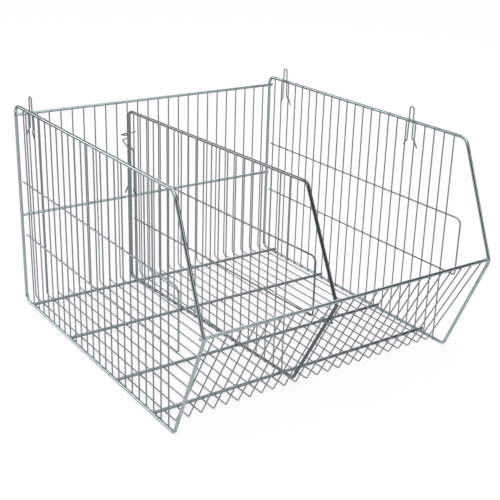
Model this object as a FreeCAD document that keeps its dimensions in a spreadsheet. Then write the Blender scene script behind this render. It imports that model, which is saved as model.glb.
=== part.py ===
import FreeCAD, Part
import math
import os
import re
import Sketcher
from FreeCAD import Placement, Rotation, Vector

# A stacking dump bin of plated wire: two bent side frames joined by cross bars, a mesh of
# bent and straight wires, a loose divider with two wire clips, and four stacking clips.
# X runs along the width, -Y is the open front, +Z is up. The origin lies on the ground, in
# the middle of the overall width and depth.

# Driving sizes, in millimetres and degrees.
SIZES = {
    # side frames
    "basket_width": 600.0,
    "frame_wire": 6.0,
    "base_run": 594.0,
    "lip_reach": 85.0,
    "frame_rise": 404.0,
    "lip_rise": 199.5,
    "rear_top_bend": 17.0,
    "front_top_bend": 20.0,
    "lip_bend": 12.0,
    "front_foot_bend": 12.0,
    "rear_foot_bend": 15.0,
    # cross bars
    "cross_bar": 6.0,
    "middle_bar_height": 188.3,
    # floor bars, in side pitches: two counted from the first side wire, two from the last
    "rear_bar_ratio": 0.65,
    "inner_rear_bar_ratio": 7.7,
    "inner_front_bar_ratio": 6.7,
    "front_bar_ratio": 1.5,
    # mesh of bent wires: back, floor and front slope in one
    "mesh_wire": 2.5,
    "mesh_count": 24,
    "mesh_edge": 15.7,
    "mesh_overlap": 1.5,
    "mesh_rear_bend": 8.0,
    "mesh_nose_bend": 5.0,
    "nose_setback": 27.0,
    # straight wires of the two sides
    "side_pitch": 24.65,
    "side_first": 27.0,
    "side_front_room": 20.0,
    "side_overlap": 1.0,
    # ribs
    "rib_wire": 3.0,
    "side_rib_upper": 258.0,
    "side_rib_lower": 149.0,
    "side_rib_reach": 10.0,
    "side_rib_rear": 14.0,
    "rib_upper_bend": 12.0,
    "rib_lower_bend": 6.0,
    # divider
    "divider_wire": 6.0,
    "divider_left_count": 9,
    "divider_aside": 7.5,
    "divider_setback": 24.0,
    "divider_skew": 2.66,
    "divider_rise": 359.9,
    "divider_top_setback": 16.0,
    "divider_bend": 11.0,
    "divider_nose_bend": 8.0,
    "seat_gap": 0.1,
    "slope_gap": 0.5,
    "lip_gap": 0.85,
    "divider_pitch": 24.65,
    "divider_front_room": 28.0,
    "divider_overlap": 1.5,
    "divider_rib_upper": 257.0,
    "divider_rib_lower": 151.0,
    "divider_rib_setback": 54.5,
    "divider_rib_rear": 16.0,
    # clips
    "clip_wire": 2.5,
    "clip_gap": 0.3,
    "clip_bend": 2.0,
    "eye_gap": 0.35,
    # stacking loops, placed in side pitches from the first and the last side wire
    "stack_rear_ratio": 1.5,
    "stack_front_ratio": 4.5,
    "stack_bend": 4.5,
    "stack_clip_rise": 28.0,
    "stack_clip_drop": 48.0,
    "stack_loop_half": 5.0,
    "stack_leg_half": 6.5,
    "stack_foot_half": 18.0,
    "stack_knee_rise": 12.5,
    "stack_shin_rise": 4.5,
    # rear divider clip
    "rear_clip_drop": 59.0,
    "rear_clip_play": 1.85,
    "rear_hook_rise": 15.8,
    "rear_hook_drop": 20.0,
    "hook_gap": 1.0,
    "hook_overlap": 3.0,
    "hook_curl": 3.6,
    "winding_rise": 4.0,
    "winding_drop": 5.0,
    # front divider clip
    "front_clip_drop": 48.5,
    "front_clip_play": 0.5,
    "front_eye_rise": 17.0,
    "front_eye_pitch": 1.7,
    "prong_rise": 19.0,
}

# Places worked out from the driving sizes; heights are above the ground.
PLACES = {
    "upper_lean": "atan(lip_reach / (frame_rise - lip_rise))",
    "lower_lean": "atan(lip_reach / lip_rise)",
    # from the lip corner to the centre of its bend
    "lip_inset": "lip_bend / cos((upper_lean + lower_lean) / 2) * cos((lower_lean - upper_lean) / 2)",
    "lip_lift": "lip_bend / cos((upper_lean + lower_lean) / 2) * sin((lower_lean - upper_lean) / 2)",
    "side_x": "(basket_width - frame_wire) / 2",
    "rail_z": "frame_wire / 2",
    "top_z": "rail_z + frame_rise",
    "rear_y": "(base_run + lip_reach - lip_inset + lip_bend) / 2",
    "front_y": "rear_y - base_run",
    "lip_y": "front_y - lip_reach",
    "lip_z": "rail_z + lip_rise",
    # cross bars: each one tangent to the frames that carry it
    "back_bar_y": "rear_y - (frame_wire + cross_bar) / 2",
    "back_bar_z": "top_z - rear_top_bend",
    "lip_bar_y": "lip_y + lip_inset - lip_bend + (frame_wire + cross_bar) / 2",
    "lip_bar_z": "lip_z + lip_lift",
    "floor_bar_z": "frame_wire + cross_bar / 2",
    "first_side_y": "rear_y - side_first",
    "side_count": "floor((base_run - side_first - side_front_room) / side_pitch) + 1",
    "last_side_y": "first_side_y - (side_count - 1) * side_pitch",
    # bent mesh wires: spread between the frames, behind the back bars, under the floor bars and
    # outside the lip bar
    "mesh_pitch": "(basket_width - 2 * frame_wire - 2 * mesh_edge) / (mesh_count - 1)",
    "mesh_y": "back_bar_y + (cross_bar + mesh_wire) / 2",
    "mesh_top_z": "back_bar_z + mesh_overlap",
    "mesh_floor_z": "floor_bar_z - (cross_bar + mesh_wire) / 2",
    "nose_y": "front_y + nose_setback",
    "slope_run": "nose_y - lip_bar_y",
    "slope_rise": "lip_bar_z - mesh_floor_z",
    "slope_reach": "sqrt(slope_run ^ 2 + slope_rise ^ 2)",
    "slope_offset": "(cross_bar + mesh_wire) / 2",
    "slope_lean": "atan(slope_run / slope_rise) + asin(slope_offset / slope_reach)",
    "slope_length": "sqrt(slope_reach ^ 2 - slope_offset ^ 2) + mesh_overlap",
    "mesh_tip_y": "nose_y - slope_length * sin(slope_lean)",
    "mesh_tip_z": "mesh_floor_z + slope_length * cos(slope_lean)",
    # side wires on the inner face of the frames, ribs on the outer face of the wires
    "side_mesh_x": "side_x - (frame_wire + mesh_wire) / 2",
    "side_mesh_z": "rail_z - side_overlap",
    "side_mesh_length": "frame_rise + 2 * side_overlap",
    "side_rib_x": "side_mesh_x + (mesh_wire + rib_wire) / 2",
    # divider: it stands beside one mesh wire, which holds its clips; its runs are measured
    # forward from its rear rod, in its own plane
    "host_x": "(divider_left_count - (mesh_count - 1) / 2) * mesh_pitch",
    "divider_x": "host_x - divider_aside",
    "divider_y": "rear_y - divider_setback",
    "divider_floor_z": "frame_wire + cross_bar + seat_gap + divider_wire / 2",
    "divider_top_z": "divider_floor_z + divider_rise",
    "divider_offset": "(divider_wire + mesh_wire) / 2 + slope_gap",
    "divider_line_y": "nose_y + divider_offset / cos(slope_lean)",
    "divider_lip_y": "lip_bar_y + (cross_bar + divider_wire) / 2 + lip_gap",
    "divider_lip_z": "mesh_floor_z + (divider_line_y - divider_lip_y) / tan(slope_lean)",
    "divider_nose_y": "divider_line_y - (divider_floor_z - mesh_floor_z) * tan(slope_lean)",
    "divider_lip_run": "(divider_y - divider_lip_y) / cos(divider_skew)",
    "divider_nose_run": "(divider_y - divider_nose_y) / cos(divider_skew)",
    "divider_top_run": "(divider_y - front_y - divider_top_setback) / cos(divider_skew)",
    "divider_count": "floor((divider_top_run - divider_front_room) / divider_pitch)",
    "divider_rib_run": "divider_lip_run - divider_rib_setback",
    "divider_mesh_x": "-(divider_wire + mesh_wire) / 2",
    "divider_mesh_z": "divider_floor_z - divider_overlap",
    "divider_mesh_length": "divider_rise + 2 * divider_overlap",
    "divider_rib_x": "divider_mesh_x + (mesh_wire + rib_wire) / 2",
}

SHEETS = {alias: "Sizes" for alias in SIZES}
SHEETS.update({alias: "Places" for alias in PLACES})

doc = FreeCAD.newDocument("DumpBin")
parts = []


def fill_sheet(name, cells):
    """Write one alias and its content to each row of a new sheet."""
    sheet = doc.addObject("Spreadsheet::Sheet", name)
    for row, (alias, content) in enumerate(cells.items(), start=1):
        sheet.set(f"A{row}", alias)
        sheet.set(f"B{row}", str(content))
        sheet.setAlias(f"B{row}", alias)
    doc.recompute()
    return sheet


def qualified(formula, skip=None):
    """Put the sheet's name before each alias in a formula, but not before those of one sheet."""
    def qualify(match):
        word = match.group(0)
        sheet = SHEETS.get(word)
        return word if sheet in (None, skip) else f"{sheet}.{word}"
    return re.sub(r"[a-z_]+", qualify, formula)


sizes = fill_sheet("Sizes", SIZES)
formulas = {alias: "=" + qualified(formula, "Places") for alias, formula in PLACES.items()}
places = fill_sheet("Places", formulas)


def value(formula):
    """The number that a formula of the sheets gives now."""
    result = sizes.evalExpression(qualified(formula))
    return float(getattr(result, "Value", result))


def bind(target, prop, formula):
    target.setExpression(prop, qualified(formula))


def origin_plane(body, role):
    return next(item for item in body.Origin.OriginFeatures if item.Role == role)


def new_body(label):
    body = doc.addObject("PartDesign::Body", label)
    body.Label = label
    parts.append(body)
    return body


def new_sketch(body, name, role):
    sketch = body.newObject("Sketcher::SketchObject", name)
    sketch.AttachmentSupport = [(origin_plane(body, role), "")]
    sketch.MapMode = "FlatFace"
    return sketch


def dimension(sketch, kind, geometry, point, formula):
    """Add a driving dimension that follows a formula."""
    place = (geometry, point) if point else (geometry,)
    number = sketch.addConstraint(Sketcher.Constraint(kind, *place, value(formula)))
    bind(sketch, f"Constraints[{number}]", formula)


def bend_points(before, corner, after, radius):
    """Where a bend at a corner starts and ends, and the centre of its arc."""
    back = (before - corner).normalize()
    ahead = (after - corner).normalize()
    half = back.getAngle(ahead) / 2
    length = radius / math.tan(half)
    centre = corner + (back + ahead).normalize() * (radius / math.sin(half))
    return corner + back * length, corner + ahead * length, centre


def draw_path(sketch, corners, bends, closed):
    """Draw straight runs between corners with a tangent arc at each corner that has a bend."""
    count = len(corners)
    points = [Vector(value(across), value(up), 0) for across, up in corners]
    arcs = {}
    for number, bend in bends.items():
        following = points[(number + 1) % count]
        arcs[number] = bend_points(points[number - 1], points[number], following, value(bend))
    runs = []
    for number in range(count if closed else count - 1):
        following = (number + 1) % count
        start = arcs[number][1] if number in arcs else points[number]
        end = arcs[following][0] if following in arcs else points[following]
        runs.append(sketch.addGeometry(Part.LineSegment(start, end), False))
    for number, (across, up) in enumerate(corners):
        corner = sketch.addGeometry(Part.Point(points[number]), True)
        dimension(sketch, "DistanceX", corner, 1, across)
        dimension(sketch, "DistanceY", corner, 1, up)
        before = runs[number - 1] if closed or number else None
        after = runs[number] if number < len(runs) else None
        if number in arcs:
            draw_bend(sketch, arcs[number], before, after, bends[number])
            sketch.addConstraint(Sketcher.Constraint("PointOnObject", corner, 1, before))
            sketch.addConstraint(Sketcher.Constraint("PointOnObject", corner, 1, after))
            continue
        if before is not None:
            sketch.addConstraint(Sketcher.Constraint("Coincident", corner, 1, before, 2))
        if after is not None:
            sketch.addConstraint(Sketcher.Constraint("Coincident", corner, 1, after, 1))


def draw_bend(sketch, places_of_arc, before, after, radius):
    """Join two runs with an arc that is tangent to both."""
    start, end, centre = places_of_arc
    first = start - centre
    last = end - centre
    angles = [math.atan2(first.y, first.x), math.atan2(last.y, last.x)]
    leftward = first.cross(last).z > 0
    circle = Part.Circle(centre, Vector(0, 0, 1), first.Length)
    arc = sketch.addGeometry(Part.ArcOfCircle(circle, *(angles if leftward else angles[::-1])), False)
    sketch.addConstraint(Sketcher.Constraint("Tangent", before, 2, arc, 1 if leftward else 2))
    sketch.addConstraint(Sketcher.Constraint("Tangent", arc, 2 if leftward else 1, after, 1))
    dimension(sketch, "Radius", arc, 0, radius)


def draw_section(sketch, centre_up, wire):
    """Draw the round section of a wire, centred on the sketch's upright axis."""
    circle = Part.Circle(Vector(0, value(centre_up), 0), Vector(0, 0, 1), value(wire) / 2)
    section = sketch.addGeometry(circle, False)
    sketch.addConstraint(Sketcher.Constraint("PointOnObject", section, 3, -2))
    dimension(sketch, "DistanceY", section, 3, centre_up)
    dimension(sketch, "Diameter", section, 0, wire)


def bent_wire(label, corners, bends, wire, upright=False, closed=False):
    """A wire bent in the YZ plane; it starts upright, or level along Y, at its first corner."""
    body = new_body(label)
    path = new_sketch(body, label + "_path", "YZ_Plane")
    draw_path(path, corners, bends, closed)
    start_y, start_z = corners[0]
    section = new_sketch(body, label + "_section", "XY_Plane" if upright else "XZ_Plane")
    draw_section(section, start_y if upright else start_z, wire)
    bind(section, ".AttachmentOffset.Base.z", start_z if upright else f"-({start_y})")
    doc.recompute()
    pipe = body.newObject("PartDesign::AdditivePipe", label + "_wire")
    pipe.Profile = section
    pipe.Spine = (path, [])
    return body


def straight_bar(label, along_y, height, length="basket_width"):
    """A cross bar along X, centred on the middle of the width."""
    bar = doc.addObject("Part::Cylinder", label)
    bar.Label = label
    bar.Placement = Placement(Vector(), Rotation(Vector(0, 1, 0), 90))
    bind(bar, "Radius", "cross_bar / 2")
    bind(bar, "Height", length)
    bind(bar, "Placement.Base.x", f"-({length}) / 2")
    bind(bar, "Placement.Base.y", along_y)
    bind(bar, "Placement.Base.z", height)
    parts.append(bar)


def upright_wires(label, first_y, start_z, length, pitch, count):
    """A row of straight mesh wires, spaced forward along -Y."""
    body = new_body(label)
    section = new_sketch(body, label + "_section", "XY_Plane")
    draw_section(section, first_y, "mesh_wire")
    bind(section, ".AttachmentOffset.Base.z", start_z)
    wire = body.newObject("PartDesign::Pad", label + "_wire")
    wire.Profile = section
    bind(wire, "Length", length)
    doc.recompute()
    row = body.newObject("PartDesign::LinearPattern", label + "_row")
    row.Originals = [wire]
    row.Direction = (section, ["V_Axis"])
    row.Reversed = True
    bind(row, "Length", f"{pitch} * ({count} - 1)")
    bind(row, "Occurrences", count)
    body.Tip = row
    return body


def rib_corners(front, rear, upper, lower):
    """The corners of a hairpin rib: two level runs joined by an upright front end."""
    return [(rear, upper), (front, upper), (front, lower), (rear, lower)]


def build_side(side, sign):
    """One side frame with the straight wires and the rib that it carries."""
    corners = [
        ("(rear_y + front_y) / 2", "rail_z"),
        ("rear_y", "rail_z"),
        ("rear_y", "top_z"),
        ("front_y", "top_z"),
        ("lip_y", "lip_z"),
        ("front_y", "rail_z"),
    ]
    bends = {1: "rear_foot_bend", 2: "rear_top_bend", 3: "front_top_bend", 4: "lip_bend"}
    bends[5] = "front_foot_bend"
    frame = bent_wire(f"{side}_side_frame", corners, bends, "frame_wire", closed=True)
    bind(frame, "Placement.Base.x", f"{sign} * side_x")
    wires = upright_wires(
        f"{side}_side_wires", "first_side_y", "side_mesh_z", "side_mesh_length", "side_pitch", "side_count")
    bind(wires, "Placement.Base.x", f"{sign} * side_mesh_x")
    corners = rib_corners(
        "front_y - side_rib_reach", "rear_y - side_rib_rear", "side_rib_upper", "side_rib_lower")
    rib = bent_wire(f"{side}_side_rib", corners, {1: "rib_upper_bend", 2: "rib_lower_bend"}, "rib_wire")
    bind(rib, "Placement.Base.x", f"{sign} * side_rib_x")


def build_cross_bars():
    """The two back bars, the lip bar and the four floor bars."""
    straight_bar("back_top_bar", "back_bar_y", "back_bar_z")
    straight_bar("back_middle_bar", "back_bar_y", "middle_bar_height", "basket_width - frame_wire")
    straight_bar("lip_bar", "lip_bar_y", "lip_bar_z")
    for row, start, sign in (
        ("rear", "first_side_y", "-"), ("inner_rear", "first_side_y", "-"),
        ("inner_front", "last_side_y", "+"), ("front", "last_side_y", "+"),
    ):
        straight_bar(f"floor_bar_{row}", f"{start} {sign} {row}_bar_ratio * side_pitch", "floor_bar_z")


def build_mesh_wires():
    """The bent wires that form the back, the floor and the front slope."""
    corners = [
        ("mesh_y", "mesh_top_z"),
        ("mesh_y", "mesh_floor_z"),
        ("nose_y", "mesh_floor_z"),
        ("mesh_tip_y", "mesh_tip_z"),
    ]
    bends = {1: "mesh_rear_bend", 2: "mesh_nose_bend"}
    for number in range(int(value("mesh_count"))):
        wire = bent_wire(f"mesh_wire_{number + 1:02d}", corners, bends, "mesh_wire", upright=True)
        bind(wire, "Placement.Base.x", f"({number} - (mesh_count - 1) / 2) * mesh_pitch")


def place_in_divider(body, offset):
    """Put a piece into the divider's plane, which is turned about its rear rod."""
    body.Placement = Placement(Vector(), Rotation(Vector(0, 0, 1), value("divider_skew")))
    bind(body, "Placement.Rotation.Angle", "divider_skew")
    bind(body, "Placement.Base.x", f"divider_x + ({offset}) * cos(divider_skew)")
    bind(body, "Placement.Base.y", f"divider_y + ({offset}) * sin(divider_skew)")


def build_divider():
    """The loose divider: a bent frame, its straight wires and a hairpin rib."""
    corners = [
        ("-divider_nose_run / 2", "divider_floor_z"),
        ("0", "divider_floor_z"),
        ("0", "divider_top_z"),
        ("-divider_top_run", "divider_top_z"),
        ("-divider_lip_run", "divider_lip_z"),
        ("-divider_nose_run", "divider_floor_z"),
    ]
    bends = dict.fromkeys(range(1, 5), "divider_bend")
    bends[5] = "divider_nose_bend"
    place_in_divider(bent_wire("divider_frame", corners, bends, "divider_wire", closed=True), "0")
    wires = upright_wires(
        "divider_wires", "-divider_pitch", "divider_mesh_z", "divider_mesh_length", "divider_pitch",
        "divider_count")
    place_in_divider(wires, "divider_mesh_x")
    corners = rib_corners("-divider_rib_run", "-divider_rib_rear", "divider_rib_upper", "divider_rib_lower")
    rib = bent_wire("divider_rib", corners, {1: "rib_upper_bend", 2: "rib_lower_bend"}, "rib_wire")
    place_in_divider(rib, "divider_rib_x")


def round_rod(points, bend, wire):
    """A rod through points in space, with an arc at each corner."""
    edges = []
    start = points[0]
    for before, corner, after in zip(points, points[1:], points[2:]):
        turn = math.pi - (before - corner).getAngle(after - corner)
        room = 0.45 * min((before - corner).Length, (after - corner).Length)
        radius = min(bend, room / math.tan(turn / 2))
        begin, end, centre = bend_points(before, corner, after, radius)
        middle = centre + (corner - centre).normalize() * radius
        edges.append(Part.LineSegment(start, begin).toShape())
        edges.append(Part.Arc(begin, middle, end).toShape())
        start = end
    edges.append(Part.LineSegment(start, points[-1]).toShape())
    section = Part.Wire([Part.makeCircle(wire / 2, points[0], points[1] - points[0])])
    return Part.Wire(edges).makePipeShell([section], True, False)


def clip(label, points, bend):
    """A clip of spring wire, bent in space."""
    feature = doc.addObject("Part::Feature", label)
    feature.Label = label
    feature.Shape = round_rod(points, bend, value("clip_wire"))
    feature.Placement = Placement()
    parts.append(feature)


def build_stacking_clips():
    """Four loops that stand above the top rails, with feet outside the side wires."""
    leg_x = value("side_x - (frame_wire + clip_wire) / 2 - clip_gap")
    foot_x = value("side_mesh_x + (mesh_wire + clip_wire) / 2 + clip_gap")
    foot = value("top_z - stack_clip_drop")
    knee = foot + value("stack_knee_rise")
    half = [
        (foot_x, value("stack_foot_half"), foot),
        (foot_x, value("(side_pitch - mesh_wire - clip_wire) / 2 - 2 * clip_gap"), knee),
        (leg_x, value("stack_leg_half"), knee + value("stack_shin_rise")),
        (leg_x, value("stack_loop_half"), value("top_z + stack_clip_rise")),
    ]
    middles = {
        "rear": value("first_side_y - stack_rear_ratio * side_pitch"),
        "front": value("last_side_y + stack_front_ratio * side_pitch"),
    }
    for side, sign in (("left", -1), ("right", 1)):
        for end, middle in middles.items():
            points = [Vector(sign * x, middle + y, z) for x, y, z in half]
            points += [Vector(sign * x, middle - y, z) for x, y, z in reversed(half)]
            clip(f"stacking_clip_{side}_{end}", points, value("stack_bend"))


def build_rear_clip():
    """A clip wound once round an upright mesh wire, with two hooks before the rear rod."""
    host_x = value("host_x")
    host_y = value("mesh_y")
    rod_x = value("divider_x")
    eye = value("(mesh_wire + clip_wire) / 2 + eye_gap")
    arm_x = rod_x - value("(divider_wire + clip_wire) / 2 + rear_clip_play")
    # swinging aside, the hooks clear the rod by their gap
    rod_reach = math.hypot(rod_x - host_x, value("divider_y") - host_y)
    hook_y = host_y - rod_reach - value("(divider_wire + clip_wire) / 2 + hook_gap")
    upper = value("rear_hook_rise")
    lower = -value("rear_hook_drop")
    tip = lower + value("hook_curl")
    wound_up = value("winding_rise")
    wound_down = -value("winding_drop")
    route = [
        (host_x + value("hook_overlap"), hook_y, upper),
        (arm_x, hook_y, upper),
        (arm_x, host_y + eye, wound_up),
        (host_x + eye, host_y + eye, wound_up / 3),
        (host_x + eye, host_y - eye, wound_down / 3),
        (arm_x, host_y - eye, wound_down),
        (arm_x, hook_y, tip),
        (rod_x, hook_y, lower),
        (host_x - value("clip_wire"), hook_y, lower),
        (host_x - value("clip_gap"), hook_y, tip),
    ]
    height = value("divider_top_z - rear_clip_drop")
    clip("divider_rear_clip", [Vector(x, y, height + z) for x, y, z in route], value("clip_bend"))


def build_front_clip():
    """A clip with an eye on a sloping mesh wire; its prong stands beside the divider."""
    lean = math.radians(value("slope_lean"))
    upslope = Vector(0, -math.sin(lean), math.cos(lean))
    inward = Vector(0, math.cos(lean), math.sin(lean))
    along = value("slope_rise - front_clip_drop") / math.cos(lean)
    foot = Vector(value("host_x"), value("nose_y"), value("mesh_floor_z")) + upslope * along
    eye = value("(mesh_wire + clip_wire) / 2 + eye_gap")
    # the prong clears the next mesh wire and the divider's rod
    past_wire = value("mesh_pitch + (mesh_wire + clip_wire) / 2 + clip_gap")
    skew = math.tan(math.radians(value("divider_skew")))
    rod_aside = (value("divider_y") - foot.y) * skew - value("divider_aside")
    past_rod = rod_aside + value("(divider_wire + clip_wire) / 2 + clip_gap")
    prong = max(past_wire, past_rod) + value("front_clip_play")
    inside = value("divider_offset + (divider_wire + clip_wire) / 2 + front_clip_play")
    high = value("front_eye_rise")
    pitch = value("front_eye_pitch")
    route = [
        (eye, -value("clip_gap"), high + 3 * pitch),
        (eye, eye, high + 2 * pitch),
        (-eye, eye, high + pitch),
        (-eye, -eye, high),
        (prong, -eye, 0),
        (prong, inside, value("clip_wire") / 2),
        (prong - value("clip_wire") / 2, inside + value("front_clip_play"), value("prong_rise")),
    ]
    points = [foot + Vector(x, 0, 0) + inward * depth + upslope * up for x, depth, up in route]
    clip("divider_front_clip", points, value("clip_bend"))


def check_and_write():
    """Stop at any failed object or shape, then write one file for each sub-part."""
    doc.recompute()
    for item in doc.Objects:
        if "Invalid" in item.State or "Error" in item.State:
            raise RuntimeError(f"{item.Label}: {item.State}")
    for item in parts:
        if item.Shape.isNull() or not item.Shape.isValid() or not item.Shape.Solids:
            raise RuntimeError(f"{item.Label}: its shape is missing or not valid")
    os.makedirs("parts", exist_ok=True)
    for item in parts:
        item.Shape.exportStep(os.path.join("parts", item.Label + ".step"))
    print(len(parts), "sub-parts,", sum(len(item.Shape.Solids) for item in parts), "solids")


build_side("left", -1)
build_side("right", 1)
build_cross_bars()
build_mesh_wires()
build_divider()
build_stacking_clips()
build_rear_clip()
build_front_clip()
check_and_write()
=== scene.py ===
import math
import random

import bmesh
import bpy
from bpy.props import FloatProperty, FloatVectorProperty, IntProperty, PointerProperty
from mathutils import Euler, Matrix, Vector


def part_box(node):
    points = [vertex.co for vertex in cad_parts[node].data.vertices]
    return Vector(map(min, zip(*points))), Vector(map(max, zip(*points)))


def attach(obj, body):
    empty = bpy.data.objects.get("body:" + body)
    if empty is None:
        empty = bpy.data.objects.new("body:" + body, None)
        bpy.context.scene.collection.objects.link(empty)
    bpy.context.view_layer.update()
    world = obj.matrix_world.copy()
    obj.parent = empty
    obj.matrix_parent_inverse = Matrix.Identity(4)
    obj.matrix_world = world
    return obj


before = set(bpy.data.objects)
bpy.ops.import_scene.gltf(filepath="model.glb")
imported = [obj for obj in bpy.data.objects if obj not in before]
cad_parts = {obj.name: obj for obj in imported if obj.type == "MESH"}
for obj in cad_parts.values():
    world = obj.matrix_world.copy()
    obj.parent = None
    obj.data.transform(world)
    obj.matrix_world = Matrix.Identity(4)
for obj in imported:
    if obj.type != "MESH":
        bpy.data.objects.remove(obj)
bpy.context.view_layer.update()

bl_info = {
    "name": "Wire Dump Bin",
    "version": (1, 0, 0),
    "blender": (4, 5, 0),
    "location": "View3D > Sidebar > Dump Bin",
    "description": "Plating, weld spots and cut wire ends of a stacking wire dump bin",
    "category": "Object",
}

# Node names of like pieces.
SIDES = ("left", "right")
BACK_BARS = ("back_top_bar", "back_middle_bar")
FLOOR_BARS = ("floor_bar_rear", "floor_bar_inner_rear", "floor_bar_inner_front", "floor_bar_front")
MESH_WIRES = tuple(sorted(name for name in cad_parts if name.startswith("mesh_wire_")))
STACKING_CLIPS = tuple(sorted(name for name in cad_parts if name.startswith("stacking_clip_")))
DIVIDER_CLIPS = ("divider_rear_clip", "divider_front_clip")

# The fine grain of the plating and of the weld spots' bloom, in patches per metre.
GRAIN = 2600.0
WELD_BLOOM = 420.0

# How much of the weld tint shows, and how much rougher the plating is there.
WELD_TINT_SHARE = 0.25
WELD_ROUGHER = 0.08

# Depth of the fine relief of the wires and of the weld spots, in metres.
WIRE_RELIEF = 0.00006
WELD_RELIEF = 0.0001

# How far before the divider's foremost wire the painted shade on its rods starts and is full, in metres.
FRONT_SHADE_STARTS = 0.018
FRONT_SHADE_FULL = 0.032

# A weld spot's rings, by their height as a share of half the spot's, and the points on each.
SPOT_ROWS = (0.82, 0.45, 0.0, -0.45, -0.82)
SPOT_TURNS = 12

# How much larger the spots on the bars are, and how much higher the corner welds.
BAR_SPOT = 1.1
CORNER_HIGHER = 1.6

# The rings of a wire end's crown: reach as a share of the wire's radius and rise as one of the
# crown's height, and the points on each ring.
CROWN_RINGS = ((0.5, 0.92), (0.82, 0.66), (0.97, 0.25), (1.0, -0.15))
CROWN_TURNS = 14

# Places and sizes of the two soft lights and the point that they face, in metres.
KEY_PLACE, KEY_SIZE = (-1.6, -1.4, 2.6), 2.2
FILL_PLACE, FILL_SIZE = (1.8, 1.2, 2.4), 2.0
LIT_POINT = (0, 0, 0.2)

# Where the floor's card turns from the far grey to the near one, in metres towards the camera.
CARD_TURN = (-0.75, -0.25)

# Greys of the light tent's wall: the sine of the height above the floor, and the brightness.
TENT_STOPS = ((0.06, 0.14), (0.16, 0.38), (0.72, 0.38), (0.85, 0.9))
TENT_FOOT = 0.10

# Patches of the light tent: bearing from the back and height, the patch's even core and its whole
# reach, all in degrees, and its brightness.
SKY_PATCHES = (
    (8, 38, 12, 26, 0.06),
    (-27, 15, 5, 9, 2.8),
    (-36, 21, 3, 10, 2.6),
    (34, 22, 6, 14, 1.5),
    (112, 22, 30, 38, 0.03),
    (158, 22, 8, 20, 1.0),
    (215, 16, 24, 36, 0.03),
)


def middle(node):
    """The middle of a CAD node's box."""
    low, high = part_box(node)
    return (low + high) / 2


def radius_of(node, axis):
    """Half of a CAD node's box along one axis, which is the radius of a wire that lies across it."""
    low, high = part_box(node)
    return (high[axis] - low[axis]) / 2


FRAME_RADIUS = radius_of("left_side_frame", 0)
BAR_RADIUS = radius_of("lip_bar", 2)
MESH_RADIUS = radius_of("mesh_wire_01", 0)
RIB_RADIUS = radius_of("left_side_rib", 0)
MESH_PITCH = middle("mesh_wire_02").x - middle("mesh_wire_01").x


class WirePlating(bpy.types.PropertyGroup):
    """Colours and wear of the zinc plating."""

    frame_tint: FloatVectorProperty(
        name="Frame tint", description="Colour of the plating on the side frames and cross bars",
        default=(0.70, 0.795, 0.805), size=3, min=0, max=1, subtype="COLOR")
    # Painted shade: the floor bars under the mesh get a darker plating colour than the frames.
    shaded_floor_bar_tint: FloatVectorProperty(
        name="Shaded floor bar tint", description="Colour of the plating on the four floor bars, darkened as painted shade",
        default=(0.38, 0.438, 0.446), size=3, min=0, max=1, subtype="COLOR")
    mesh_tint: FloatVectorProperty(
        name="Mesh tint", description="Colour of the plating on the mesh wires and side wires",
        default=(0.40, 0.45, 0.46), size=3, min=0, max=1, subtype="COLOR")
    rib_tint: FloatVectorProperty(
        name="Rib tint", description="Colour of the plating on the ribs of the back and sides",
        default=(0.47, 0.535, 0.54), size=3, min=0, max=1, subtype="COLOR")
    divider_tint: FloatVectorProperty(
        name="Divider tint", description="Colour of the plating on the divider",
        default=(0.44, 0.48, 0.48), size=3, min=0, max=1, subtype="COLOR")
    # Painted shade: a darker colour laid on the divider's front slopes.
    front_shade_tint: FloatVectorProperty(
        name="Front shade tint", description="Colour of the painted shade on the divider's front slopes",
        default=(0.21, 0.245, 0.25), size=3, min=0, max=1, subtype="COLOR")
    clip_tint: FloatVectorProperty(
        name="Clip tint", description="Colour of the spring wire of the clips",
        default=(0.42, 0.48, 0.47), size=3, min=0, max=1, subtype="COLOR")
    bloom_tint: FloatVectorProperty(
        name="Bloom tint", description="Colour of the dull bloom that zinc takes with age",
        default=(0.40, 0.455, 0.46), size=3, min=0, max=1, subtype="COLOR")
    # Painted highlight: the cut ends get a near-white colour, so their tips read as bright glints.
    end_highlight_tint: FloatVectorProperty(
        name="End highlight tint", description="Bright colour on the cut ends of the wires, a painted highlight",
        default=(0.88, 0.91, 0.91), size=3, min=0, max=1, subtype="COLOR")
    heat_tint: FloatVectorProperty(
        name="Weld tint", description="Colour of the plating over the heated steel beside a weld",
        default=(0.20, 0.215, 0.21), size=3, min=0, max=1, subtype="COLOR")
    bloom_size: FloatProperty(
        name="Bloom size", description="Usual distance between two patches of bloom",
        default=0.016, min=0.001, max=0.2, subtype="DISTANCE", unit="LENGTH")
    heat_reach: FloatProperty(
        name="Weld tint reach", description="How far the tint runs from a weld along the wire",
        default=0.0045, min=0.0005, max=0.02, subtype="DISTANCE", unit="LENGTH")
    gloss: FloatProperty(
        name="Gloss", description="How bright the plating is, from matt to mirror",
        default=0.93, min=0, max=1, subtype="FACTOR")


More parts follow.
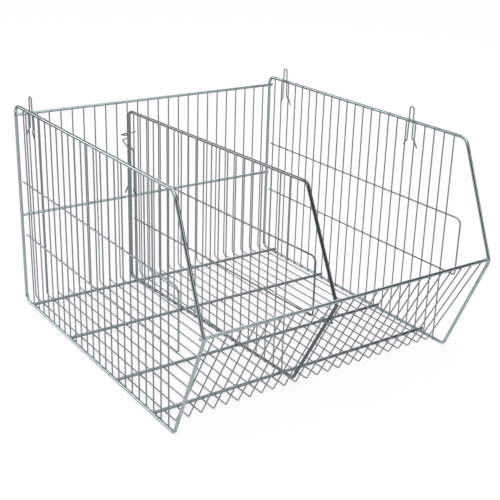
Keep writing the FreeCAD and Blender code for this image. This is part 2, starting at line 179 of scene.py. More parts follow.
class WireWelds(bpy.types.PropertyGroup):
    """Sizes of the weld spots and of the cut wire ends."""

    spot_width: FloatProperty(
        name="Spot width", description="Width of a weld spot between two thin wires",
        default=0.0036, min=0.001, max=0.01, subtype="DISTANCE", unit="LENGTH")
    spot_height: FloatProperty(
        name="Spot height", description="Height of a weld spot across the two wires",
        default=0.0017, min=0.0005, max=0.006, subtype="DISTANCE", unit="LENGTH")
    corner_width: FloatProperty(
        name="Corner weld width", description="Width of a weld between a cross bar and a side frame",
        default=0.0046, min=0.002, max=0.015, subtype="DISTANCE", unit="LENGTH")
    roughness: FloatProperty(
        name="Weld unevenness", description="How much the size of one spot differs from the next",
        default=0.16, min=0, max=0.5, subtype="FACTOR")
    end_crown: FloatProperty(
        name="End crown", description="Height of the crown that the cutter leaves on a wire's end",
        default=0.00015, min=0, max=0.001, subtype="DISTANCE", unit="LENGTH")
    seed: IntProperty(
        name="Seed", description="Start of the row of numbers that makes the spots differ",
        default=7, min=0, max=9999)


class StudioStage(bpy.types.PropertyGroup):
    """The floor, the lights and the camera."""

    floor_radius: FloatProperty(
        name="Floor radius", description="Radius of the pale floor",
        default=14.0, min=1, max=50, subtype="DISTANCE", unit="LENGTH")
    floor_tint: FloatVectorProperty(
        name="Floor tint", description="Colour of the floor",
        default=(0.45, 0.45, 0.45), size=3, min=0, max=1, subtype="COLOR")
    floor_glow: FloatProperty(
        name="Floor glow", description="Light that the floor gives from beneath, as a light table does",
        default=0.74, min=0, max=2)
    near_card: FloatProperty(
        name="Near card", description="Brightness of the card on the near side, which the wires mirror",
        default=0.52, min=0, max=2)
    far_card: FloatProperty(
        name="Far card", description="Brightness of the card on the far side, which the wires mirror",
        default=0.10, min=0, max=2)
    sky_strength: FloatProperty(
        name="Sky strength", description="Brightness of the studio around the bin",
        default=1.0, min=0, max=10)
    key_power: FloatProperty(
        name="Key power", description="Power of the large soft light over the left front",
        default=10.0, min=0, max=2000, subtype="POWER", unit="POWER")
    fill_power: FloatProperty(
        name="Fill power", description="Power of the soft light over the right rear",
        default=4.0, min=0, max=2000, subtype="POWER", unit="POWER")
    camera_place: FloatVectorProperty(
        name="Camera place", description="Where the camera stands",
        default=(-0.967553, -1.398675, 0.841886), size=3, subtype="TRANSLATION", unit="LENGTH")
    camera_turn: FloatVectorProperty(
        name="Camera turn", description="How the camera is turned",
        default=(math.radians(68.3766), math.radians(-1.6192), math.radians(-34.544)),
        size=3, subtype="EULER", unit="ROTATION")
    camera_lens: FloatProperty(
        name="Camera lens", description="Focal length on a 36 mm sensor, in millimetres",
        default=69.87, min=10, max=300)


# ---- materials -------------------------------------------------------------------------------


def make_group(name, inputs, outputs):
    """A shader node group with its sockets, and its input and output nodes."""
    group = bpy.data.node_groups.new(name, "ShaderNodeTree")
    for label, kind, default in inputs:
        socket = group.interface.new_socket(name=label, in_out="INPUT", socket_type=kind)
        socket.default_value = default
    for label, kind in outputs:
        group.interface.new_socket(name=label, in_out="OUTPUT", socket_type=kind)
    return group, group.nodes.new("NodeGroupInput"), group.nodes.new("NodeGroupOutput")


def link(tree, source, output, target, socket):
    tree.links.new(source.outputs[output], target.inputs[socket])


def math_node(tree, operation, *values):
    """A Math node; each value is a number or a (node, output) pair."""
    node = tree.nodes.new("ShaderNodeMath")
    node.operation = operation
    for number, given in enumerate(values):
        if isinstance(given, tuple):
            tree.links.new(given[0].outputs[given[1]], node.inputs[number])
        else:
            node.inputs[number].default_value = given
    return node


def noise_node(tree, coordinates, scale, detail, roughness):
    """A Noise Texture on the object's own coordinates; the scale is a number or a node's output."""
    node = tree.nodes.new("ShaderNodeTexNoise")
    node.inputs["Detail"].default_value = detail
    node.inputs["Roughness"].default_value = roughness
    tree.links.new(coordinates[0].outputs[coordinates[1]], node.inputs["Vector"])
    if isinstance(scale, tuple):
        tree.links.new(scale[0].outputs[scale[1]], node.inputs["Scale"])
    else:
        node.inputs["Scale"].default_value = scale
    return node


def range_node(tree, source, output, low, high, to_low=0.0, to_high=1.0):
    """A smooth Map Range node from one span of values to another."""
    node = tree.nodes.new("ShaderNodeMapRange")
    node.interpolation_type = "SMOOTHSTEP"
    link(tree, source, output, node, "Value")
    for label, number in (("From Min", low), ("From Max", high), ("To Min", to_low), ("To Max", to_high)):
        node.inputs[label].default_value = number
    return node


def mix_colors(tree, factor, first, second):
    """A Mix node for colours; each argument is a value or a (node, output) pair."""
    node = tree.nodes.new("ShaderNodeMix")
    node.data_type = "RGBA"
    for socket, given in ((node.inputs[0], factor), (node.inputs[6], first), (node.inputs[7], second)):
        if isinstance(given, tuple) and isinstance(given[0], bpy.types.Node):
            tree.links.new(given[0].outputs[given[1]], socket)
        else:
            socket.default_value = given
    return node


def build_zinc_bloom():
    """Bright plating with dull patches, small stains and a fine grain."""
    group, given, made = make_group(
        "zinc_bloom",
        (("Bright", "NodeSocketColor", (0.6, 0.65, 0.64, 1)),
         ("Dull", "NodeSocketColor", (0.3, 0.35, 0.34, 1)),
         ("Patches per metre", "NodeSocketFloat", 60.0), ("Gloss", "NodeSocketFloat", 0.7)),
        (("Color", "NodeSocketColor"), ("Roughness", "NodeSocketFloat"), ("Height", "NodeSocketFloat")))
    place = group.nodes.new("ShaderNodeTexCoord")
    patches = noise_node(group, (place, "Object"), (given, "Patches per metre"), 5.0, 0.62)
    bloom = range_node(group, patches, "Fac", 0.52, 0.78)
    finer = math_node(group, "MULTIPLY", (given, "Patches per metre"), 9.0)
    stains = noise_node(group, (place, "Object"), (finer, 0), 3.0, 0.55)
    stain = range_node(group, stains, "Fac", 0.56, 0.78, 0.0, 0.55)
    cover = math_node(group, "MAXIMUM", (bloom, 0), (stain, 0))
    color = mix_colors(group, (cover, 0), (given, "Bright"), (given, "Dull"))
    grain = noise_node(group, (place, "Object"), GRAIN, 2.0, 0.5)
    matt = math_node(group, "SUBTRACT", 1.0, (given, "Gloss"))
    dulled = math_node(group, "MULTIPLY_ADD", (cover, 0), 0.22, (matt, 0))
    uneven = range_node(group, grain, "Fac", 0.3, 0.7, -0.04, 0.05)
    roughness = math_node(group, "ADD", (dulled, 0), (uneven, 0))
    height = math_node(group, "MULTIPLY_ADD", (stains, "Fac"), 0.5, (grain, "Fac"))
    link(group, color, 2, made, "Color")
    link(group, roughness, 0, made, "Roughness")
    link(group, height, 0, made, "Height")
    return group


def build_weld_tint():
    """A mask that is 1 at evenly spaced welds along one axis and fades away from each."""
    group, given, made = make_group(
        "weld_tint",
        (("Axis", "NodeSocketVector", (1, 0, 0)), ("First", "NodeSocketFloat", 0.0),
         ("Pitch", "NodeSocketFloat", 0.024), ("Last", "NodeSocketFloat", 22.0),
         ("Reach", "NodeSocketFloat", 0.004)),
        (("Mask", "NodeSocketFloat"),))
    place = group.nodes.new("ShaderNodeTexCoord")
    along = group.nodes.new("ShaderNodeVectorMath")
    along.operation = "DOT_PRODUCT"
    link(group, place, "Object", along, 0)
    link(group, given, "Axis", along, 1)
    shifted = math_node(group, "SUBTRACT", (along, "Value"), (given, "First"))
    steps = math_node(group, "DIVIDE", (shifted, 0), (given, "Pitch"))
    rounded = math_node(group, "ROUND", (steps, 0))
    started = math_node(group, "MAXIMUM", (rounded, 0), 0.0)
    nearest = math_node(group, "MINIMUM", (started, 0), (given, "Last"))
    apart = math_node(group, "SUBTRACT", (steps, 0), (nearest, 0))
    distance = math_node(group, "MULTIPLY", (apart, 0), (given, "Pitch"))
    size = math_node(group, "ABSOLUTE", (distance, 0))
    share = math_node(group, "DIVIDE", (size, 0), (given, "Reach"))
    ragged = noise_node(group, (place, "Object"), 900.0, 2.0, 0.5)
    edge = math_node(group, "MULTIPLY_ADD", (ragged, "Fac"), 0.7, (share, 0))
    mask = range_node(group, edge, 0, 0.35, 1.25, 1.0, 0.0)
    link(group, mask, 0, made, "Mask")
    return group


def build_drawing_lines():
    """Fine lines that the drawing die leaves along a wire."""
    group, given, made = make_group(
        "drawing_lines",
        (("Lines per metre", "NodeSocketVector", (3000, 40, 40)),),
        (("Height", "NodeSocketFloat"),))
    place = group.nodes.new("ShaderNodeTexCoord")
    stretched = group.nodes.new("ShaderNodeVectorMath")
    stretched.operation = "MULTIPLY"
    link(group, place, "Object", stretched, 0)
    link(group, given, "Lines per metre", stretched, 1)
    lines = noise_node(group, (stretched, "Vector"), 1.0, 2.0, 0.6)
    link(group, lines, "Fac", made, "Height")
    return group


def build_painted_front_shade():
    """A mask for the painted shade, which rises from 0 to 1 between two places along Y, towards the open
    front.
    """
    group, given, made = make_group(
        "painted_front_shade", (("Starts", "NodeSocketFloat", -0.2), ("Full", "NodeSocketFloat", -0.25)),
        (("Mask", "NodeSocketFloat"),))
    place = group.nodes.new("ShaderNodeTexCoord")
    parts = group.nodes.new("ShaderNodeSeparateXYZ")
    link(group, place, "Object", parts, 0)
    ragged = noise_node(group, (place, "Object"), 300.0, 2.0, 0.5)
    shifted = math_node(group, "MULTIPLY_ADD", (ragged, "Fac"), 0.004, (parts, "Y"))
    gone = math_node(group, "SUBTRACT", (given, "Starts"), (shifted, 0))
    run = math_node(group, "SUBTRACT", (given, "Starts"), (given, "Full"))
    share = math_node(group, "DIVIDE", (gone, 0), (run, 0))
    mask = range_node(group, share, 0, 0.0, 1.0)
    link(group, mask, 0, made, "Mask")
    return group


def cool(grey):
    """A grey with a slight cast of blue."""
    return grey, grey * 1.01, grey * 1.02, 1


def effect(name, builder):
    """A node group that is built once and shared."""
    return bpy.data.node_groups.get(name) or builder()


def group_node(tree, group):
    node = tree.nodes.new("ShaderNodeGroup")
    node.node_tree = group
    return node


def plated_steel(name, tint, lines, welds=None, matt=0.0, front_shade_span=None):
    """Zinc plated wire: bright metal with bloom, drawing lines and tinted welds.

    The drawing lines are given by how many there are in a metre along X, Y and Z, few of them along
    the wire. The welds are given by their axis, the first one's place on it, their pitch and how
    many follow, and the painted front shade by the places along Y where it starts and where it is full.
    """
    plating = bpy.context.scene.bin_plating
    material = bpy.data.materials.new(name)
    material.use_nodes = True
    tree = material.node_tree
    shader = tree.nodes["Principled BSDF"]
    shader.inputs["Metallic"].default_value = 1.0
    shader.inputs["Coat Roughness"].default_value = 0.12
    shader.inputs["Coat IOR"].default_value = 1.45
    shader.inputs["Coat Weight"].default_value = 0.12
    bloom = group_node(tree, effect("zinc_bloom", build_zinc_bloom))
    bloom.inputs["Bright"].default_value = (*tint, 1)
    bloom.inputs["Dull"].default_value = (*plating.bloom_tint, 1)
    bloom.inputs["Patches per metre"].default_value = 1 / plating.bloom_size
    bloom.inputs["Gloss"].default_value = plating.gloss - matt
    drawn = group_node(tree, effect("drawing_lines", build_drawing_lines))
    drawn.inputs["Lines per metre"].default_value = lines
    height = math_node(tree, "MULTIPLY_ADD", (drawn, "Height"), 0.8, (bloom, "Height"))
    bump = tree.nodes.new("ShaderNodeBump")
    bump.inputs["Strength"].default_value = 0.25
    bump.inputs["Distance"].default_value = WIRE_RELIEF
    link(tree, height, 0, bump, "Height")
    link(tree, bump, "Normal", shader, "Normal")
    if welds is None:
        link(tree, bloom, "Color", shader, "Base Color")
        link(tree, bloom, "Roughness", shader, "Roughness")
        return material
    heat = group_node(tree, effect("weld_tint", build_weld_tint))
    for label, given in zip(("Axis", "First", "Pitch", "Last"), welds):
        heat.inputs[label].default_value = given
    heat.inputs["Reach"].default_value = plating.heat_reach
    share = math_node(tree, "MULTIPLY", (heat, "Mask"), WELD_TINT_SHARE)
    color = mix_colors(tree, (share, 0), (bloom, "Color"), (*plating.heat_tint, 1))
    # Painted shade: the colour darkens towards the open front.
    if front_shade_span:
        front = group_node(tree, effect("painted_front_shade", build_painted_front_shade))
        front.inputs["Starts"].default_value, front.inputs["Full"].default_value = front_shade_span
        color = mix_colors(tree, (front, "Mask"), (color, 2), (*plating.front_shade_tint, 1))
    rougher = math_node(tree, "MULTIPLY_ADD", (heat, "Mask"), WELD_ROUGHER, (bloom, "Roughness"))
    link(tree, color, 2, shader, "Base Color")
    link(tree, rougher, 0, shader, "Roughness")
    return material


def weld_metal():
    """The plated skin of a weld spot: dull and pitted."""
    plating = bpy.context.scene.bin_plating
    found = bpy.data.materials.get("weld_spot_zinc")
    if found:
        return found
    material = bpy.data.materials.new("weld_spot_zinc")
    material.use_nodes = True
    tree = material.node_tree
    shader = tree.nodes["Principled BSDF"]
    shader.inputs["Metallic"].default_value = 1.0
    bloom = group_node(tree, effect("zinc_bloom", build_zinc_bloom))
    bloom.inputs["Bright"].default_value = (*plating.frame_tint, 1)
    bloom.inputs["Dull"].default_value = (*plating.bloom_tint, 1)
    bloom.inputs["Patches per metre"].default_value = WELD_BLOOM
    bloom.inputs["Gloss"].default_value = 0.55
    bump = tree.nodes.new("ShaderNodeBump")
    bump.inputs["Strength"].default_value = 0.6
    bump.inputs["Distance"].default_value = WELD_RELIEF
    link(tree, bloom, "Height", bump, "Height")
    link(tree, bump, "Normal", shader, "Normal")
    link(tree, bloom, "Color", shader, "Base Color")
    link(tree, bloom, "Roughness", shader, "Roughness")
    return material


def dress(node, material):
    """Give a CAD node its material and smooth shading that keeps its cut ends crisp."""
    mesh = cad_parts[node].data
    mesh.materials.clear()
    mesh.materials.append(material)
    mesh.shade_smooth()
    mesh.set_sharp_from_angle(angle=math.radians(50))


# ---- welds and ends --------------------------------------------------------------------------


class Lumps:
    """Gathers the points and faces of many small forms for one mesh."""

    def __init__(self):
        self.points = []
        self.faces = []

    def add_rings(self, rings, top, bottom):
        """Close a stack of rings of equal count with a point at each end."""
        first = len(self.points)
        turns = len(rings[0])
        self.points.append(top)
        for ring in rings:
            self.points.extend(ring)
        self.points.append(bottom)
        last = len(self.points) - 1
        for turn in range(turns):
            following = (turn + 1) % turns
            self.faces.append((first, first + 1 + turn, first + 1 + following))
            for row in range(len(rings) - 1):
                start = first + 1 + row * turns
                self.faces.append((
                    start + turn, start + turns + turn, start + turns + following, start + following))
            start = last - turns
            self.faces.append((last, start + following, start + turn))

    def add_spot(self, centre, out, along, width, height, rough, dice):
        """A weld spot: a squeezed lens with an uneven rim."""
        across = out.cross(along)
        size = 1 + dice.uniform(-rough, rough)
        rim = [size * (1 + dice.uniform(-rough, rough) * 0.5) for _ in range(SPOT_TURNS)]
        shift = along * dice.uniform(-rough, rough) * width * 0.25
        centre = centre + shift
        rings = []
        for rise in SPOT_ROWS:
            round_share = math.sqrt(1 - rise * rise)
            ring = []
            for turn in range(SPOT_TURNS):
                angle = 2 * math.pi * turn / SPOT_TURNS
                reach = round_share * rim[turn] * width / 2
                ring.append(
                    centre + along * (math.cos(angle) * reach * 1.12) + across * (math.sin(angle) * reach)
                    + out * (rise * height / 2 * size))
            rings.append(ring)
        pole = out * (height / 2 * size)
        self.add_rings(rings, centre + pole, centre - pole)

    def add_end(self, centre, out, radius, crown, dice):
        """The crown on a cut wire's end, a little higher on the side where the cutter came in."""
        side = out.orthogonal().normalized()
        across = out.cross(side)
        tilt = dice.uniform(0, 2 * math.pi)
        rings = []
        for reach, rise in CROWN_RINGS:
            ring = []
            for turn in range(CROWN_TURNS):
                angle = 2 * math.pi * turn / CROWN_TURNS
                nip = 0.25 * crown * reach * math.cos(angle - tilt) * max(rise, 0)
                ring.append(
                    centre + (side * math.cos(angle) + across * math.sin(angle)) * (radius * reach)
                    + out * (crown * rise + nip))
            rings.append(ring)
        self.add_rings(rings, centre + out * crown, centre - out * (crown * 0.5))

    def build(self, name, body, slot, material):
        """Make one object of all forms, which rides on a body."""
        mesh = bpy.data.meshes.new(name)
        mesh.from_pydata([tuple(point) for point in self.points], [], self.faces)
        mesh.validate()
        bm = bmesh.new()
        bm.from_mesh(mesh)
        bmesh.ops.recalc_face_normals(bm, faces=bm.faces)
        bm.to_mesh(mesh)
        bm.free()
        mesh.shade_smooth()
        mesh.materials.append(material)
        piece = bpy.data.objects.new(name, mesh)
        bpy.context.scene.collection.objects.link(piece)
        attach(piece, body)


def merged_mesh(node):
    """A CAD node's mesh with the points of neighbouring faces joined."""
    bm = bmesh.new()
    bm.from_mesh(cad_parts[node].data)
    bmesh.ops.remove_doubles(bm, verts=bm.verts, dist=1e-6)
    bm.normal_update()
    return bm


def connected(items, neighbours):
    """Sort items into lists of those that hang together, each in the order in which it is found."""
    seen = set()
    for start in items:
        if start in seen:
            continue
        found = {start: True}
        waiting = [start]
        while waiting:
            for item in neighbours(waiting.pop()):
                if item not in found:
                    found[item] = True
                    waiting.append(item)
        seen.update(found)
        yield list(found)


def joined_verts(vert):
    """The points at the other ends of a point's edges."""
    return [edge.other_vert(vert) for edge in vert.link_edges]


def flush_faces(face):
    """The faces beside a face that lie in its plane."""
    beside = [other for edge in face.edges for other in edge.link_faces]
    return [other for other in beside if other.normal.dot(face.normal) > 0.9999]


def separate_wires(node):
    """The lowest and highest corner of each wire in a CAD node, from the rear forward."""
    bm = merged_mesh(node)
    boxes = []
    for wire in connected(bm.verts, joined_verts):
        boxes.append(tuple(
            Vector(pick(vert.co[axis] for vert in wire) for axis in range(3)) for pick in (min, max)))
    bm.free()
    return sorted(boxes, key=lambda box: -box[0].y)


def weld_row(node):
    """Axis, first place, pitch and last number of the welds to the straight wires of a CAD node."""
    wires = separate_wires(node)
    places = [(low.y + high.y) / 2 for low, high in wires]
    return (0, -1, 0), -places[0], places[0] - places[1], len(wires) - 1


def cut_ends(node, radius):
    """The centre and outward direction of each flat round end in a CAD node."""
    bm = merged_mesh(node)
    ends = []
    for flat in connected(bm.faces, flush_faces):
        # a faceted disc has a little less than the area of a round one
        area = sum(face.calc_area() for face in flat)
        if not 0.85 < area / (math.pi * radius ** 2) < 1.05:
            continue
        verts = list(dict.fromkeys(vert for face in flat for vert in face.verts))
        centre = sum((vert.co for vert in verts), Vector()) / len(verts)
        if max((vert.co - centre).length for vert in verts) < radius * 1.1:
            ends.append((centre, flat[0].normal.copy()))
    bm.free()
    return ends


def slope_directions():
    """The direction in which the mesh wires climb the front slope, and the one out of the bin."""
    climb = min((out for _, out in cut_ends("mesh_wire_01", MESH_RADIUS)), key=lambda out: out.y)
    return climb, Vector((0, -climb.z, climb.y))


OPERATORS = []


def operator(cls):
    """Keep an operator for the panel and for registration."""
    OPERATORS.append(cls)
    return cls


def crossings(lumps, wires, place, out, along, dice):
    """A spot where each of several wires, given by their x, crosses one bar."""
    welds = bpy.context.scene.bin_welds
    for x in wires:
        centre = Vector((x, place.y, place.z))
        lumps.add_spot(
            centre, out, along, welds.spot_width * BAR_SPOT, welds.spot_height * BAR_SPOT,
            welds.roughness, dice)


@operator
class DUMPBIN_OT_plate_frames(bpy.types.Operator):
    """Plate the two side frames and the cross bars"""

    bl_idname = "dumpbin.plate_frames"
    bl_label = "Plate the frames and bars"

    def execute(self, context):
        plating = context.scene.bin_plating
        frames = plated_steel(
            "frame_zinc", plating.frame_tint, (1400, 30, 1400), weld_row("left_side_wires"))
        for side in SIDES:
            dress(f"{side}_side_frame", frames)
        row = ((1, 0, 0), middle(MESH_WIRES[0]).x, MESH_PITCH, len(MESH_WIRES) - 1)
        bars = plated_steel("bar_zinc", plating.frame_tint, (30, 1400, 1400), row)
        for bar in BACK_BARS + ("lip_bar",):
            dress(bar, bars)
        # The floor bars get a darker tint, a painted shade for their place under the mesh.
        shaded_floor_bars = plated_steel("floor_bar_shaded_zinc", plating.shaded_floor_bar_tint, (30, 1400, 1400), row)
        for bar in FLOOR_BARS:
            dress(bar, shaded_floor_bars)
        return {"FINISHED"}


@operator
class DUMPBIN_OT_plate_mesh(bpy.types.Operator):
    """Plate the bent mesh wires, the side wires and the ribs"""

    bl_idname = "dumpbin.plate_mesh"
    bl_label = "Plate the mesh"

    def execute(self, context):
        plating = context.scene.bin_plating
        bent = plated_steel("mesh_zinc", plating.mesh_tint, (3200, 60, 60))
        for wire in MESH_WIRES:
            dress(wire, bent)
        upright = plated_steel("side_wire_zinc", plating.mesh_tint, (3200, 3200, 40))
        for side in SIDES:
            dress(f"{side}_side_wires", upright)
        ribs = plated_steel(
            "side_rib_zinc", plating.rib_tint, (2600, 40, 2600), weld_row("left_side_wires"))
        for side in SIDES:
            dress(f"{side}_side_rib", ribs)
        return {"FINISHED"}


@operator
class DUMPBIN_OT_plate_divider(bpy.types.Operator):
    """Plate the loose divider"""

    bl_idname = "dumpbin.plate_divider"
    bl_label = "Plate the divider"

    def execute(self, context):
        plating = context.scene.bin_plating
        # The rods carry a painted shade that darkens them towards the open front.
        foremost = separate_wires("divider_wires")[-1][0].y
        rods = plated_steel(
            "divider_rod_zinc", plating.divider_tint, (1600, 35, 1600), weld_row("divider_wires"),
            matt=0.04, front_shade_span=(foremost - FRONT_SHADE_STARTS, foremost - FRONT_SHADE_FULL))
        dress("divider_frame", rods)
        dress("divider_rib", rods)
        upright = plated_steel(
            "divider_wire_zinc", plating.divider_tint, (3200, 3200, 40), matt=0.04)
        dress("divider_wires", upright)
        return {"FINISHED"}


@operator
class DUMPBIN_OT_plate_clips(bpy.types.Operator):
    """Plate the spring wire of the stacking clips and the divider's clips"""

    bl_idname = "dumpbin.plate_clips"
    bl_label = "Plate the clips"

    def execute(self, context):
        plating = context.scene.bin_plating
        spring = plated_steel("clip_zinc", plating.clip_tint, (2400, 2400, 60), matt=-0.04)
        for clip in STACKING_CLIPS + DIVIDER_CLIPS:
            dress(clip, spring)
        return {"FINISHED"}


@operator
class DUMPBIN_OT_mesh_welds(bpy.types.Operator):
    """Weld spots where the mesh wires cross the bars of the back, the floor and the lip"""

    bl_idname = "dumpbin.mesh_welds"
    bl_label = "Weld the mesh"

    def execute(self, context):
        dice = random.Random(context.scene.bin_welds.seed)
        wires = [middle(wire).x for wire in MESH_WIRES]
        back = Lumps()
        for name in BACK_BARS:
            behind = middle(name) + Vector((0, BAR_RADIUS, 0))
            crossings(back, wires, behind, Vector((0, 1, 0)), Vector((0, 0, 1)), dice)
        back.build("back_weld_spots", "basket", "mesh_wire", weld_metal())
        floor = Lumps()
        for name in FLOOR_BARS:
            under = middle(name) - Vector((0, 0, BAR_RADIUS))
            crossings(floor, wires, under, Vector((0, 0, 1)), Vector((0, 1, 0)), dice)
        floor.build("floor_weld_spots", "basket", "mesh_wire", weld_metal())
        climb, out = slope_directions()
        lip = Lumps()
        crossings(lip, wires, middle("lip_bar") + out * BAR_RADIUS, out, climb, dice)
        lip.build("lip_weld_spots", "basket", "mesh_wire", weld_metal())
        return {"FINISHED"}


@operator
class DUMPBIN_OT_side_welds(bpy.types.Operator):
    """Weld spots where the side wires meet the rails and the ribs"""

    bl_idname = "dumpbin.side_welds"
    bl_label = "Weld the sides"

    def execute(self, context):
        welds = context.scene.bin_welds
        dice = random.Random(welds.seed + 1)
        for side, sign in zip(SIDES, (-1, 1)):
            low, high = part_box(f"{side}_side_frame")
            rib_low, rib_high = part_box(f"{side}_side_rib")
            heights = (
                low.z + FRAME_RADIUS, high.z - FRAME_RADIUS, rib_low.z + RIB_RADIUS, rib_high.z - RIB_RADIUS)
            out = Vector((sign, 0, 0))
            lumps = Lumps()
            for wire_low, wire_high in separate_wires(f"{side}_side_wires"):
                axis = (wire_low + wire_high) / 2
                for height in heights:
                    centre = Vector((axis.x + sign * MESH_RADIUS, axis.y, height))
                    lumps.add_spot(
                        centre, out, Vector((0, 0, 1)), welds.spot_width, welds.spot_height,
                        welds.roughness, dice)
            lumps.build(f"{side}_side_weld_spots", "basket", "mesh_wire", weld_metal())
        return {"FINISHED"}


@operator
class DUMPBIN_OT_corner_welds(bpy.types.Operator):
    """Welds that hold the cross bars to the side frames"""

    bl_idname = "dumpbin.corner_welds"
    bl_label = "Weld the cross bars"

    def execute(self, context):
        welds = context.scene.bin_welds
        dice = random.Random(welds.seed + 2)
        lumps = Lumps()
        seats = [(name, Vector((0, 0, -1))) for name in FLOOR_BARS]
        seats += [(name, Vector((0, 1, 0))) for name in BACK_BARS] + [("lip_bar", Vector((0, -1, 0)))]
        for side in SIDES:
            x = middle(f"{side}_side_frame").x
            for name, out in seats:
                centre = middle(name) + out * BAR_RADIUS
                centre.x = x
                lumps.add_spot(
                    centre, out, out.cross(Vector((1, 0, 0))), welds.corner_width,
                    welds.spot_height * CORNER_HIGHER, welds.roughness, dice)
        lumps.build("cross_bar_welds", "basket", "frame_wire", weld_metal())
        return {"FINISHED"}


@operator
class DUMPBIN_OT_divider_welds(bpy.types.Operator):
    """Weld spots where the divider's wires meet its frame and its rib"""

    bl_idname = "dumpbin.divider_welds"
    bl_label = "Weld the divider"

    def execute(self, context):
        welds = context.scene.bin_welds
        dice = random.Random(welds.seed + 3)
        axes = [(low + high) / 2 for low, high in separate_wires("divider_wires")]
        rearward = (axes[0] - axes[-1]).normalized()
        out = rearward.cross(Vector((0, 0, 1)))
        low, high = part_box("divider_frame")
        rib_low, rib_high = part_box("divider_rib")
        heights = (low.z + BAR_RADIUS, high.z - BAR_RADIUS, rib_low.z + RIB_RADIUS, rib_high.z - RIB_RADIUS)
        lumps = Lumps()
        for axis in axes:
            for height in heights:
                centre = axis + out * MESH_RADIUS
                centre.z = height
                lumps.add_spot(
                    centre, out, Vector((0, 0, 1)), welds.spot_width, welds.spot_height,
                    welds.roughness, dice)
        lumps.build("divider_weld_spots", "divider", "divider_wire", weld_metal())
        return {"FINISHED"}


@operator
class DUMPBIN_OT_cut_ends(bpy.types.Operator):
    """Crowned ends where the wires are cut, coloured with a painted highlight"""

    bl_idname = "dumpbin.cut_ends"
    bl_label = "Crown the wire ends"

    def execute(self, context):
        welds = context.scene.bin_welds
        dice = random.Random(welds.seed + 4)
        # The cut ends take a near-white tint, a painted highlight on the wire tips.
        cut = plated_steel("cut_end_highlight_zinc", context.scene.bin_plating.end_highlight_tint, (900, 900, 900))
        groups = [
            ("mesh_wire_ends", "basket", "mesh_wire", MESH_WIRES, MESH_RADIUS),
            ("side_wire_ends", "basket", "mesh_wire", [f"{side}_side_wires" for side in SIDES], MESH_RADIUS),
            ("side_rib_ends", "basket", "mesh_wire", [f"{side}_side_rib" for side in SIDES], RIB_RADIUS),
            ("divider_wire_ends", "divider", "divider_wire", ["divider_wires"], MESH_RADIUS),
            ("divider_rib_ends", "divider", "divider_wire", ["divider_rib"], RIB_RADIUS),
        ]
        for clip in STACKING_CLIPS + DIVIDER_CLIPS:
            groups.append((f"{clip}_ends", clip, "clip_wire", [clip], MESH_RADIUS))
        for name, body, slot, nodes, radius in groups:
            lumps = Lumps()
            for node in nodes:
                ends = cut_ends(node, radius)
                if not ends:
                    raise RuntimeError(f"{node} has no flat cut end")
                for centre, out in ends:
                    lumps.add_end(centre, out, radius, welds.end_crown, dice)
            lumps.build(name, body, slot, cut)
        return {"FINISHED"}


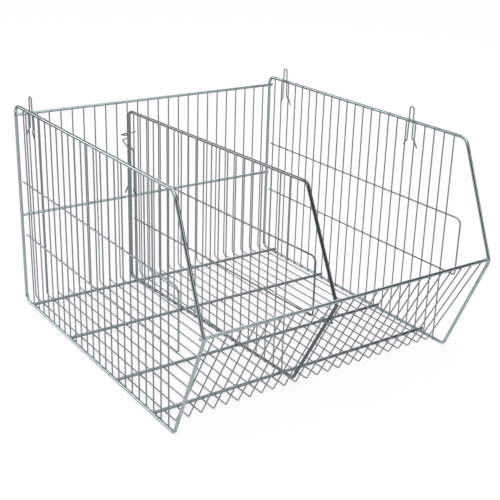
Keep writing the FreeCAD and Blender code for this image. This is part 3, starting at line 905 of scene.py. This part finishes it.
@operator
class DUMPBIN_OT_stage(bpy.types.Operator):
    """Pale floor, soft studio light and the camera"""

    bl_idname = "dumpbin.stage"
    bl_label = "Build the stage"

    def execute(self, context):
        stage = context.scene.bin_stage
        self.build_floor(stage)
        self.build_sky(context, stage)
        self.build_light("key_light", KEY_PLACE, KEY_SIZE, stage.key_power)
        self.build_light("fill_light", FILL_PLACE, FILL_SIZE, stage.fill_power)
        self.build_camera(context, stage)
        return {"FINISHED"}

    def build_floor(self, stage):
        """A large round floor with a faint grain."""
        material = bpy.data.materials.new("floor_card")
        material.use_nodes = True
        tree = material.node_tree
        shader = tree.nodes["Principled BSDF"]
        shader.inputs["Roughness"].default_value = 0.9
        shader.inputs["Specular IOR Level"].default_value = 0.1
        place = tree.nodes.new("ShaderNodeTexCoord")
        grain = noise_node(tree, (place, "Object"), 40.0, 3.0, 0.5)
        faint = range_node(tree, grain, "Fac", 0.2, 0.8, 0.0, 0.03)
        color = mix_colors(tree, (faint, 0), (*stage.floor_tint, 1), (0.4, 0.4, 0.4, 1))
        link(tree, color, 2, shader, "Base Color")
        shader.inputs["Emission Color"].default_value = (1, 1, 1, 1)
        shader.inputs["Emission Strength"].default_value = stage.floor_glow
        nearer = tree.nodes.new("ShaderNodeVectorMath")
        nearer.operation = "DOT_PRODUCT"
        link(tree, place, "Object", nearer, 0)
        nearer.inputs[1].default_value = Vector((*stage.camera_place[:2], 0)).normalized()
        shade = range_node(tree, nearer, "Value", *CARD_TURN, stage.far_card, stage.near_card)
        card = tree.nodes.new("ShaderNodeEmission")
        card.inputs["Color"].default_value = (0.97, 1.0, 1.0, 1)
        link(tree, shade, 0, card, "Strength")
        rays = tree.nodes.new("ShaderNodeLightPath")
        seen = tree.nodes.new("ShaderNodeMixShader")
        link(tree, rays, "Is Glossy Ray", seen, 0)
        tree.links.new(shader.outputs[0], seen.inputs[1])
        tree.links.new(card.outputs[0], seen.inputs[2])
        link(tree, seen, 0, tree.nodes["Material Output"], "Surface")
        bm = bmesh.new()
        bmesh.ops.create_circle(bm, cap_ends=True, segments=96, radius=stage.floor_radius)
        mesh = bpy.data.meshes.new("studio_floor")
        bm.to_mesh(mesh)
        bm.free()
        mesh.materials.append(material)
        floor = bpy.data.objects.new("studio_floor", mesh)
        bpy.context.scene.collection.objects.link(floor)

    def build_sky(self, context, stage):
        """A light tent with bright and dark patches, which the camera sees as a white backdrop."""
        world = bpy.data.worlds.new("studio_sky")
        context.scene.world = world
        world.use_nodes = True
        tree = world.node_tree
        tree.nodes.clear()
        place = tree.nodes.new("ShaderNodeTexCoord")
        parts = tree.nodes.new("ShaderNodeSeparateXYZ")
        link(tree, place, "Generated", parts, 0)
        ramp = tree.nodes.new("ShaderNodeValToRGB")
        link(tree, parts, "Z", ramp, 0)
        stops = ramp.color_ramp.elements
        stops[0].position, stops[0].color = 0.0, (TENT_FOOT, TENT_FOOT, TENT_FOOT, 1)
        stops[1].position, stops[1].color = 1.0, (1.0, 1.0, 1.0, 1)
        for position, grey in TENT_STOPS:
            stop = stops.new(position)
            stop.color = cool(grey)
        light = (ramp, 0)
        for bearing, height, core, reach, grey in SKY_PATCHES:
            axis = Vector((0, 1, 0))
            axis.rotate(Euler((math.radians(height), 0, -math.radians(bearing))))
            towards = tree.nodes.new("ShaderNodeVectorMath")
            towards.operation = "DOT_PRODUCT"
            link(tree, place, "Generated", towards, 0)
            towards.inputs[1].default_value = axis
            rim, heart = (math.cos(math.radians(angle)) for angle in (reach, core))
            mask = range_node(tree, towards, "Value", rim, heart)
            light = (mix_colors(tree, (mask, 0), light, cool(grey)), 2)
        sky = tree.nodes.new("ShaderNodeBackground")
        sky.inputs["Strength"].default_value = stage.sky_strength
        link(tree, light[0], light[1], sky, "Color")
        backdrop = tree.nodes.new("ShaderNodeBackground")
        backdrop.inputs["Color"].default_value = (1.0, 1.0, 1.0, 1)
        backdrop.inputs["Strength"].default_value = stage.sky_strength
        rays = tree.nodes.new("ShaderNodeLightPath")
        chosen = tree.nodes.new("ShaderNodeMixShader")
        link(tree, rays, "Is Camera Ray", chosen, 0)
        tree.links.new(sky.outputs[0], chosen.inputs[1])
        tree.links.new(backdrop.outputs[0], chosen.inputs[2])
        output = tree.nodes.new("ShaderNodeOutputWorld")
        link(tree, chosen, 0, output, "Surface")

    def build_light(self, name, place, size, power):
        """A square soft light that faces the bin."""
        light = bpy.data.lights.new(name, "AREA")
        light.shape = "SQUARE"
        light.size = size
        light.energy = power
        lamp = bpy.data.objects.new(name, light)
        lamp.location = place
        lamp.rotation_euler = (Vector(LIT_POINT) - Vector(place)).to_track_quat("-Z", "Y").to_euler()
        bpy.context.scene.collection.objects.link(lamp)

    def build_camera(self, context, stage):
        """The camera, out beyond the bin's front left corner and looking down into it."""
        lens = bpy.data.cameras.new("bin_camera")
        lens.sensor_width = 36
        lens.lens = stage.camera_lens
        lens.clip_start = 0.05
        lens.clip_end = 100
        camera = bpy.data.objects.new("bin_camera", lens)
        camera.location = stage.camera_place
        camera.rotation_euler = Euler(stage.camera_turn)
        context.scene.collection.objects.link(camera)
        context.scene.camera = camera
        context.scene.view_settings.view_transform = "Standard"


class DUMPBIN_PT_panel(bpy.types.Panel):
    """Lists the sizes and colours, and the steps in their order"""

    bl_idname = "DUMPBIN_PT_panel"
    bl_label = "Wire dump bin"
    bl_space_type = "VIEW_3D"
    bl_region_type = "UI"
    bl_category = "Dump Bin"

    def draw(self, context):
        for title, settings in (
            ("Plating", context.scene.bin_plating), ("Welds", context.scene.bin_welds),
            ("Stage", context.scene.bin_stage),
        ):
            box = self.layout.box()
            box.label(text=title)
            for name in settings.__annotations__:
                box.prop(settings, name)
        steps = self.layout.column(align=True)
        for cls in OPERATORS:
            steps.operator(cls.bl_idname)


CLASSES = [WirePlating, WireWelds, StudioStage] + OPERATORS + [DUMPBIN_PT_panel]


def register():
    for cls in CLASSES:
        bpy.utils.register_class(cls)
    bpy.types.Scene.bin_plating = PointerProperty(type=WirePlating)
    bpy.types.Scene.bin_welds = PointerProperty(type=WireWelds)
    bpy.types.Scene.bin_stage = PointerProperty(type=StudioStage)


def unregister():
    del bpy.types.Scene.bin_plating
    del bpy.types.Scene.bin_welds
    del bpy.types.Scene.bin_stage
    for cls in reversed(CLASSES):
        bpy.utils.unregister_class(cls)


def main():
    """Register the add-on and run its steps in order."""
    register()
    bpy.ops.dumpbin.plate_frames()
    bpy.ops.dumpbin.plate_mesh()
    bpy.ops.dumpbin.plate_divider()
    bpy.ops.dumpbin.plate_clips()
    bpy.ops.dumpbin.mesh_welds()
    bpy.ops.dumpbin.side_welds()
    bpy.ops.dumpbin.corner_welds()
    bpy.ops.dumpbin.divider_welds()
    bpy.ops.dumpbin.cut_ends()
    bpy.ops.dumpbin.stage()


if __name__ == "__main__":
    main()
